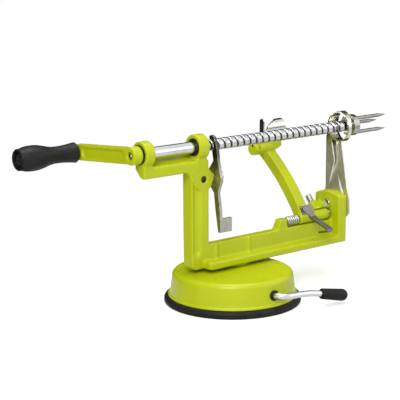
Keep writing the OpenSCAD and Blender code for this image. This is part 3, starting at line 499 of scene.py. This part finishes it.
def lay_ring(points, middle, side, other, radii):
    steps = len(radii)
    if max(radii) < NO_RADIUS:
        points.append(middle)
        return [len(points) - 1] * steps
    for k, radius in enumerate(radii):
        t = 2 * math.pi * k / steps
        points.append(middle + side * (radius * math.cos(t)) + other * (radius * math.sin(t)))
    return list(range(len(points) - steps, len(points)))


def join_rings(rings):
    faces = []
    for low, high in zip(rings, rings[1:]):
        for k in range(len(low)):
            j = (k + 1) % len(low)
            face = list(dict.fromkeys((low[k], low[j], high[j], high[k])))
            if len(face) > 2:
                faces.append(face)
    return faces


def lathe(profile, base, axis, steps=96, closed=False):
    axis = Vector(axis).normalized()
    side = axis.orthogonal().normalized()
    other = axis.cross(side)
    points = []
    rings = [lay_ring(points, Vector(base) + axis * along, side, other, [radius] * steps)
             for radius, along in profile]
    return points, join_rings(rings + rings[:1] if closed else rings)


def arc(middle_r, middle_a, radius, start, end, count):
    steps = [math.radians(start + (end - start) * i / count) for i in range(count + 1)]
    return [(middle_r + radius * math.cos(t), middle_a + radius * math.sin(t)) for t in steps]


def plain_rod(radius_mm, start_mm, end_mm):
    profile = [(0, start_mm), (radius_mm, start_mm), (radius_mm, end_mm), (0, end_mm)]
    return [(r * MM, a * MM) for r, a in profile]


trial_rod = lathe(plain_rod(5, 0, 20), (0, 0, 0), (0, 0, 1), steps=12)
print("a plain rod of 12 steps has", len(trial_rod[1]), "faces")

# %% [markdown]
# Points and faces become a mesh whose faces all look outward, then a named piece that rides on its
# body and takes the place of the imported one. Edges sharper than the crease stay sharp in the light.

# %% From points to pieces
CREASE = 40


def solid_mesh(name, parts):
    points, faces = [], []
    for part_points, part_faces in parts:
        start = len(points)
        points += [tuple(p) for p in part_points]
        faces += [[start + i for i in face] for face in part_faces]
    mesh = bpy.data.meshes.new(name)
    mesh.from_pydata(points, [], faces)
    shape = bmesh.new()
    shape.from_mesh(mesh)
    bmesh.ops.recalc_face_normals(shape, faces=shape.faces)
    shape.to_mesh(mesh)
    shape.free()
    return mesh


def smooth_light(mesh, crease):
    mesh.shade_smooth()
    mesh.set_sharp_from_angle(angle=math.radians(crease))


def add_piece(name, parts, material, body, replaced, crease=CREASE):
    mesh = solid_mesh(name, parts)
    smooth_light(mesh, crease)
    mesh.materials.append(material)
    piece = bpy.data.objects.new(name, mesh)
    scene.collection.objects.link(piece)
    hand_over(piece, body, replaced)
    return piece


def bore(piece, part):
    tool = bpy.data.objects.new("bore_tool", solid_mesh("bore_tool", [part]))
    scene.collection.objects.link(tool)
    cut = piece.modifiers.new("bore", "BOOLEAN")
    cut.operation = "DIFFERENCE"
    cut.solver = "EXACT"
    cut.object = tool
    smooth_light(freeze(piece), CREASE)
    bpy.data.objects.remove(tool)
    print(piece.name, "cut,", len(piece.data.polygons), "faces")


print("edges sharper than", CREASE, "degrees stay sharp where a piece says nothing else")

# %% [markdown]
# ## The drum
# The base is drawn from sheet metal: a wall that leans in slightly, a generous round where it turns
# into the flat top, and a small rolled lip that sits on the rubber. The inside is turned too, with
# the guide for the lifting stud. Two holes for the suction rod are cut with a boolean at the end.

# %% Drum
ROD_HEIGHT = 15 * MM
DRUM_FOOT_R, DRUM_FOOT_Z, DRUM_TOP_Z, DRUM_SHEET = 51.5, 6.0, 26.5, 1.6
WALL_LEAN = 2.0 / 16.0
CORNER_R, CORNER_Z, CORNER_ROUND = 45.0, 22.0, 4.5
GUIDE_BORE, GUIDE_R, GUIDE_LOW = 6.55, 8.7, 20.9


def drum_wall(inset, heights):
    return [(DRUM_FOOT_R - inset - WALL_LEAN * (z - DRUM_FOOT_Z), z) for z in heights]


def drum_profile():
    ceiling = DRUM_TOP_Z - DRUM_SHEET
    lip = [(52.1, DRUM_FOOT_Z), (52.7, 6.35), (52.75, 6.9), (52.5, 7.5), (51.9, 7.9), (51.35, 8.3)]
    outer = lip + drum_wall(0, (9.5, 12, 15, 18, 20, 21.4))
    outer += arc(CORNER_R, CORNER_Z, CORNER_ROUND, 3, 90, 16)
    outer += [(38, DRUM_TOP_Z), (20, DRUM_TOP_Z), (0, DRUM_TOP_Z)]
    guide = [(GUIDE_BORE, ceiling), (GUIDE_BORE, GUIDE_LOW),
             (GUIDE_R, GUIDE_LOW), (GUIDE_R, ceiling)]
    inner = [(0, ceiling)] + guide + [(20, ceiling), (38, ceiling)]
    inner += list(reversed(arc(CORNER_R, CORNER_Z, CORNER_ROUND - DRUM_SHEET, 3, 90, 12)))
    inner += drum_wall(DRUM_SHEET, (20, 15, 10, DRUM_FOOT_Z))
    return [(r * MM, z * MM) for r, z in outer + inner]


drum_shell = lathe(drum_profile(), (0, 0, 0), (0, 0, 1), steps=160, closed=True)
drum = add_piece("drawn_drum", [drum_shell], lime_paint, "stand", "base_drum",
                 crease=50)
rod_hole = lathe(plain_rod(4.2, -60, 60), (0, 0, ROD_HEIGHT), (0, 1, 0), steps=40)
bore(drum, rod_hole)

# %% [markdown]
# ## The screw
# One long steel rod: a chromed shaft that runs in the two eyes, then a coarse right hand thread,
# then a plain neck for the fork. The thread is not modelled as a separate coil. Rings are laid
# close together along the rod, and on each ring the radius dips where the groove passes, so the
# groove winds round by itself and the surface stays one closed skin. Between two grooves the
# thread is hollowed by a hair, which breaks its highlight.

# %% Lead screw
SCREW_Y, SCREW_Z = 12 * MM, 128.6 * MM
SHAFT_R, GROOVE_D, NECK_R = 4.75 * MM, 1.1 * MM, 3.2 * MM
LEAD = 6.8 * MM
STUB_START, SHAFT_START, THREAD_START = -92.45 * MM, -90.25 * MM, -19.95 * MM
THREAD_END, NECK_END = 134.05 * MM, 146.5 * MM
GROOVE_SHARE, FLANK_SHARE = 0.17, 0.09
FIRST_TURN = 75 / 360
HOLLOW, HOLLOW_START, HOLLOW_SPAN = 0.05, 0.33, 0.34
RUN_OUT = 2.0 * MM
AROUND, RINGS_A_TURN = 56, 20


def groove_depth(x, angle):
    turns = (x - THREAD_START) / LEAD - angle / (2 * math.pi) - FIRST_TURN
    away = abs((turns + 0.5) % 1.0 - 0.5)
    slope = (away - GROOVE_SHARE / 2) / FLANK_SHARE
    depth = 1.0 - min(1.0, max(0.0, slope))
    depth = depth * depth * (3 - 2 * depth)
    hollow = HOLLOW * max(0.0, (away - HOLLOW_START) / HOLLOW_SPAN) ** 2
    ends = min(1.0, (x - THREAD_START) / RUN_OUT, (THREAD_END - x) / RUN_OUT)
    return GROOVE_D * (depth + hollow) * max(0.0, ends)


def thread_radii(x):
    return [SHAFT_R - groove_depth(x, 2 * math.pi * k / AROUND) for k in range(AROUND)]


def screw_parts():
    stub = [(0, 0), (0, 1.2), (0.15, 1.55), (0.5, 1.7)]
    plain = [(STUB_START + x * MM, r * MM) for x, r in stub]
    plain += [(SHAFT_START, 1.7 * MM), (SHAFT_START, 4.5 * MM), (SHAFT_START + 0.25 * MM, SHAFT_R),
              (SHAFT_START + 20 * MM, SHAFT_R), (-50 * MM, SHAFT_R), (THREAD_START, SHAFT_R)]
    rings = int((THREAD_END - THREAD_START) / (LEAD / RINGS_A_TURN))
    thread = [THREAD_START + (THREAD_END - THREAD_START) * i / rings for i in range(1, rings)]
    neck = [(THREAD_END, SHAFT_R - 0.4 * MM), (THREAD_END + 0.8 * MM, NECK_R), (NECK_END, NECK_R),
            (NECK_END, 0)]
    stations = [(x, [r] * AROUND) for x, r in plain]
    stations += [(x, thread_radii(x)) for x in thread]
    stations += [(x, [r] * AROUND) for x, r in neck]
    side, other = Vector((0, 1, 0)), Vector((0, 0, 1))
    points = []
    loops = [lay_ring(points, Vector((x, SCREW_Y, SCREW_Z)), side, other, radii)
             for x, radii in stations]
    return points, join_rings(loops)


screw = add_piece("threaded_shaft", [screw_parts()], chrome, "crank", "lead_screw",
                  crease=60)
print("thread of", round((THREAD_END - THREAD_START) / LEAD, 1), "turns")

# %% [markdown]
# The shaft is chromed and the thread is zinc plated. The faces that lie deep enough in the groove
# get a dark steel of their own, a painted shade for the dark the groove shows.

# %% Painted shade in the thread
DARK_BELOW = 0.40

# painted shade: a near-black steel on the faces deep in the groove, standing in for its shade
painted_shade_steel, tree, shader = new_finish("dark_steel_painted_shade", 1.0)
drift_colour(tree, shader, grain(tree, 3, 3), (0.025, 0.025, 0.023), (0.075, 0.075, 0.07))
drift_roughness(tree, shader, grain(tree, 1, 3), 0.34, 0.5)
screw.data.materials.append(zinc)
screw.data.materials.append(painted_shade_steel)
for face in screw.data.polygons:
    if THREAD_START < face.center.x < THREAD_END + 1 * MM:
        out = math.hypot(face.center.y - SCREW_Y, face.center.z - SCREW_Z)
        face.material_index = 2 if out < SHAFT_R - DARK_BELOW * GROOVE_D else 1
print(sum(face.material_index == 2 for face in screw.data.polygons), "faces lie in the groove")

# %% [markdown]
# ## The stop bolt
# A small screw beside the upright plate sets how far the arm may come in. Its thread is cut the
# same way as the big one, with rings that dip where the groove passes, only round a leaning axis.
# The slot for a screwdriver is taken out of its end with a thin block.

# %% Stop bolt
BOLT_LEAN = math.radians(42)
BOLT_AXIS = Vector((0, math.sin(BOLT_LEAN), math.cos(BOLT_LEAN)))
BOLT_START = Vector((112 * MM, 16.5 * MM, 52.5 * MM)) + BOLT_AXIS * (1 * MM)
BOLT_SIDE = Vector((1, 0, 0))
BOLT_OTHER = BOLT_AXIS.cross(BOLT_SIDE)
BOLT_R, BOLT_LEN, BOLT_PITCH, BOLT_CUT = 2.8 * MM, 19 * MM, 1.25 * MM, 0.45 * MM
BOLT_AROUND, BOLT_RINGS, BOLT_RUN_OUT = 36, 152, 0.8 * MM
SLOT_LOW, SLOT_HIGH, SLOT_HALF = 17.8 * MM, 20.8 * MM, 0.5 * MM


def bolt_radii(along):
    end = min(1.0, along / BOLT_RUN_OUT, (BOLT_LEN - along) / BOLT_RUN_OUT)
    radii = []
    for k in range(BOLT_AROUND):
        away = abs((along / BOLT_PITCH - k / BOLT_AROUND) % 1.0 - 0.5) * 2
        radii.append(BOLT_R - BOLT_CUT * max(away, 1.0 - end) ** 1.5)
    return radii


def bolt_parts():
    stations = [(0, [0] * BOLT_AROUND)]
    for i in range(BOLT_RINGS + 1):
        along = BOLT_LEN * i / BOLT_RINGS
        stations.append((along, bolt_radii(along)))
    stations.append((BOLT_LEN, [0] * BOLT_AROUND))
    points = []
    rings = [lay_ring(points, BOLT_START + BOLT_AXIS * along, BOLT_SIDE, BOLT_OTHER, radii)
             for along, radii in stations]
    return points, join_rings(rings)


def slot_block():
    across, thick = BOLT_SIDE * (4 * MM), BOLT_OTHER * SLOT_HALF
    corners = [across * a + thick * b for a, b in ((-1, -1), (1, -1), (1, 1), (-1, 1))]
    low = [BOLT_START + BOLT_AXIS * SLOT_LOW + corner for corner in corners]
    high = [BOLT_START + BOLT_AXIS * SLOT_HIGH + corner for corner in corners]
    sides = join_rings([[0, 1, 2, 3], [4, 5, 6, 7]])
    return low + high, sides + [(3, 2, 1, 0), (4, 5, 6, 7)]


bolt = add_piece("threaded_bolt", [bolt_parts()], zinc, "stand", "stop_bolt",
                 crease=60)
bore(bolt, slot_block())

# %% [markdown]
# ## The grip
# The black grip is turned: a small flare next to the crank, a slim waist for the fingers and a full
# round end with a shallow recess where the spindle's head sits. It is a lathe profile again, with
# more rings than the eye needs so that the satin highlight runs smoothly.

# %% Grip
GRIP_START = (-94.15 * MM, 84.998 * MM, 121.957 * MM)
GRIP_LEN, GRIP_R, WAIST_R, GRIP_BORE = 54.0, 10.2, 6.8, 3.05
WAIST_AT, EASE_AT = 0.36, 0.84
GRIP_RINGS = 56


def grip_radius(t):
    if t < WAIST_AT:
        return WAIST_R + 1.5 * (1 - t / WAIST_AT) ** 2
    swell = math.sin(math.pi / 2 * min(1.0, (t - WAIST_AT) / 0.42)) ** 2
    ease = 1.4 * ((t - EASE_AT) / (1 - EASE_AT)) ** 2 if t > EASE_AT else 0.0
    return WAIST_R + (GRIP_R - WAIST_R) * swell - ease


def grip_profile():
    body = [(GRIP_BORE, 0.0), (7.6, 0.0), (7.95, 0.15)]
    body += [(grip_radius(i / GRIP_RINGS), 0.6 + (GRIP_LEN - 4.6) * i / GRIP_RINGS)
             for i in range(GRIP_RINGS + 1)]
    body += arc(GRIP_R - 3.1, GRIP_LEN - 2.5, 1.9, 35, 80, 7)
    body += [(7.15, GRIP_LEN - 0.4), (7.0, GRIP_LEN - 1.0), (6.9, GRIP_LEN - 4.6),
             (GRIP_BORE, GRIP_LEN - 4.6)]
    return [(r * MM, a * MM) for r, a in body]


grip_body = lathe(grip_profile(), GRIP_START, (-1, 0, 0), closed=True)
add_piece("turned_grip", [grip_body], satin_black, "hand_grip", "grip", crease=50)

# %% [markdown]
# ## Bent wire
# The suction lever is one steel rod, bent where it leaves the drum and bent again toward its tip,
# and the springs are wound wire. Both are a small circle carried along a path. The circle must not
# twist on the way, so each new direction turns the last one by the least angle.

# %% Sweep helper
def sweep(path, radius, sides=20):
    path = [Vector(p) for p in path]
    last = len(path) - 1
    heading = (path[1] - path[0]).normalized()
    side = heading.orthogonal().normalized()
    points, rings = [], []
    for i, middle in enumerate(path):
        new = (path[min(i + 1, last)] - path[max(i - 1, 0)]).normalized()
        side = heading.rotation_difference(new) @ side
        heading = new
        rings.append(lay_ring(points, middle, side, heading.cross(side), [radius] * sides))
    return points, join_rings(rings) + [rings[0], rings[-1]]


def round_corners(corners, radius, count=10):
    corners = [Vector(c) for c in corners]
    path = [corners[0]]
    for a, b, c in zip(corners, corners[1:], corners[2:]):
        near = b + (a - b).normalized() * min(radius, (a - b).length * 0.45)
        far = b + (c - b).normalized() * min(radius, (c - b).length * 0.45)
        for i in range(count + 1):
            s = i / count
            path.append(near * (1 - s) ** 2 + b * (2 * s * (1 - s)) + far * s ** 2)
    return path + [corners[-1]]


trial_bend = round_corners([(0, 0, 0), (1, 0, 0), (1, 1, 0)], 0.2)
print("a bend is drawn with", len(trial_bend) - 2, "points")

# %% [markdown]
# ## The suction lever
# Turning this lever lifts the middle of the pad and makes the base hold on to the table. Inside the
# drum the rod carries an eccentric between two cheeks. Outside it leaves through a black grommet,
# bends round and ends in a soft black tip that keeps the fingers off the steel.

# %% Suction lever
ROD_R, ROD_BEND = 2.6 * MM, 9 * MM
LEVER_LEN = 64 * MM
CHEEK_AT, CAM_THROW = 8.5 * MM, 2 * MM


def lever_point(t):
    return Vector(((0.44 + 0.56 * t) * LEVER_LEN,
                   -(DRUM_FOOT_R + 8.5 + 6 * t) * MM,
                   ROD_HEIGHT - (1.2 + 7 * t) * MM))


elbow = Vector((0, -(DRUM_FOOT_R + 7) * MM, ROD_HEIGHT))
outside = [(0, -8 * MM, ROD_HEIGHT), elbow, lever_point(0), lever_point(0.95)]
cheek, eccentric = plain_rod(4.6, -1, 1), plain_rod(3.2, -9.5, 9.5)
journal = [(0, 8), (2.6, 8), (2.6, 49.3), (2.3, 49.5), (0, 49.5)]
journal = [(r * MM, a * MM) for r, a in journal]
lever_parts = [sweep(round_corners(outside, ROD_BEND), ROD_R, sides=28)]
for profile, y, z in [(cheek, -CHEEK_AT, ROD_HEIGHT), (cheek, CHEEK_AT, ROD_HEIGHT),
                      (eccentric, 0, ROD_HEIGHT - CAM_THROW), (journal, 0, ROD_HEIGHT)]:
    lever_parts.append(lathe(profile, (0, y, z), (0, 1, 0), steps=32))
add_piece("suction_rod", lever_parts, chrome, "suction_lever", "cam_rod")

# %% [markdown]
# The tip is a soft sleeve pushed over the rod's end. It widens a little toward a round nose and is
# hollow, so its profile runs out along the outside and back inside.

# %% Soft tip
TIP_BORE, TIP_R, TIP_FLARE, TIP_NOSE = 2.62 * MM, 4.45, 0.5, 4.95 * MM

tip_start, tip_end = lever_point(0.34), lever_point(0.9)
tip_length = (tip_end - tip_start).length
tip_profile = [(TIP_BORE, 0), (3.9 * MM, 0), (4.3 * MM, 0.5 * MM), (TIP_R * MM, 1.6 * MM)]
tip_profile += [((TIP_R + TIP_FLARE * s) * MM, 1.6 * MM + (tip_length - 2.0 * MM) * s)
                for s in (0.25, 0.5, 0.75, 1.0)]
nose = arc(0, tip_length, TIP_NOSE, 5, 90, 14)
tip_profile += nose[:-1] + [(0, nose[-1][1])]
tip_profile += [(0, tip_length - 1 * MM), (TIP_BORE, tip_length - 1 * MM)]
tip_body = lathe(tip_profile, tip_start, tip_end - tip_start, steps=64, closed=True)
add_piece("soft_tip", [tip_body], satin_black, "suction_lever", "lever_tip",
          crease=60)

# %% [markdown]
# ## Springs
# One coil sits on the arm's pin and holds the blade against the fruit, a smaller one presses the
# release lever into the thread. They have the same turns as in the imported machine, only rounder.

# %% Springs
STEPS_A_TURN = 32
ARM_COIL_START, ARM_COIL_END, ARM_COIL_TURNS, ARM_WIRE_R = 67.8, 82, 6, 0.7
ARM_COIL_PITCH = (ARM_COIL_END - ARM_COIL_START - ARM_WIRE_R - 0.3) / ARM_COIL_TURNS


def coil(start_mm, pitch_mm, turns, radius_mm, wire_mm, start_degrees):
    path = []
    x, y, z = start_mm
    for i in range(STEPS_A_TURN * turns + 1):
        done = i / STEPS_A_TURN
        t = math.radians(start_degrees + 360 * done)
        path.append(Vector((x + pitch_mm * done, y + radius_mm * math.cos(t),
                            z + radius_mm * math.sin(t))) * MM)
    return sweep(path, wire_mm * MM, sides=12)


release_coil = coil((-10.5, 12, 102.6), 1.9, 3, 3.0, 0.55, 0)
add_piece("release_coil", [release_coil], zinc, "stand", "lever_spring")
arm_coil = coil((ARM_COIL_START, 10, 54), ARM_COIL_PITCH, ARM_COIL_TURNS, 3.2, ARM_WIRE_R, 90)
add_piece("arm_coil", [arm_coil], zinc, "stand", "arm_spring")

# %% [markdown]
# ## Sheet, pins and screws
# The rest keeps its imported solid. What a bare solid lacks is the tiny broken edge that every real
# part has and that catches the light. A weld joins the mesh's seams, flat faces are merged, a
# narrow bevel runs along the sharp edges, and weighted normals keep the flats flat. Sheet gets a
# second, brighter finish on that bevel, because its edges are ground. The thumb strip is welded
# more strongly, so that the small step where its two parts meet goes away.

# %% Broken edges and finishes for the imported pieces
SEAM_MM, FLAT_DEGREES, SHARP_DEGREES = 0.002, 0.4, 35


def dress(node, finish, edge_mm, ground=None, weld_mm=SEAM_MM):
    piece = nodes[node]
    piece.data.materials.clear()
    piece.data.materials.append(finish)
    join = piece.modifiers.new("join seams", "WELD")
    join.merge_threshold = weld_mm * MM
    flats = piece.modifiers.new("merge flats", "DECIMATE")
    flats.decimate_type = "DISSOLVE"
    flats.angle_limit = math.radians(FLAT_DEGREES)
    edge = piece.modifiers.new("broken edge", "BEVEL")
    edge.width = edge_mm * MM
    edge.segments = 2
    edge.limit_method = "ANGLE"
    edge.angle_limit = math.radians(SHARP_DEGREES)
    if ground:
        piece.data.materials.append(ground)
        edge.material = 1
    shade = piece.modifiers.new("flat shading", "WEIGHTED_NORMAL")
    shade.keep_sharp = False


plain_pieces = [
    ("suction_pad", pad_rubber, 0.3), ("pad_stud", zinc, 0.2), ("rod_grommets", bush_plastic, 0.25),
    ("frame_screws", zinc, 0.2), ("front_bush", bush_plastic, 0.25),
    ("rear_bush", bush_plastic, 0.25), ("thrust_washer", bush_plastic, 0.2),
    ("hub_pin", zinc, 0.15), ("grip_spindle", zinc, 0.25),
    ("fork_hub", stainless, 0.4), ("prongs", prong_steel, 0.12), ("lever_pin", zinc, 0.25),
    # the lock screw takes the near-black steel too: painted shade for its dark recessed hole
    ("lock_screw", painted_shade_steel, 0.2), ("lever_clip", zinc, 0.12), ("arm_pin", zinc, 0.25),
    ("arm_pin_clip", zinc, 0.15), ("blade_screws", zinc, 0.25), ("thumb_rivets", dull_steel, 0.25),
    ("slicer_screws", chrome, 0.3), ("slicer_nuts", zinc, 0.25)]
for node, finish, edge_mm in plain_pieces:
    dress(node, finish, edge_mm)
sheet_pieces = [
    ("slicer", sheet_steel, 0.35, SEAM_MM), ("peel_blade", blade_steel, 0.2, SEAM_MM),
    ("release_lever", lever_steel_painted_shade, 0.3, SEAM_MM), ("thumb_lever", dull_steel, 0.25, 0.2)]
for node, finish, edge_mm, weld_mm in sheet_pieces:
    dress(node, finish, edge_mm, ground_edge, weld_mm)
print("dressed", len(plain_pieces), "pins, screws and rings and", len(sheet_pieces), "sheets")
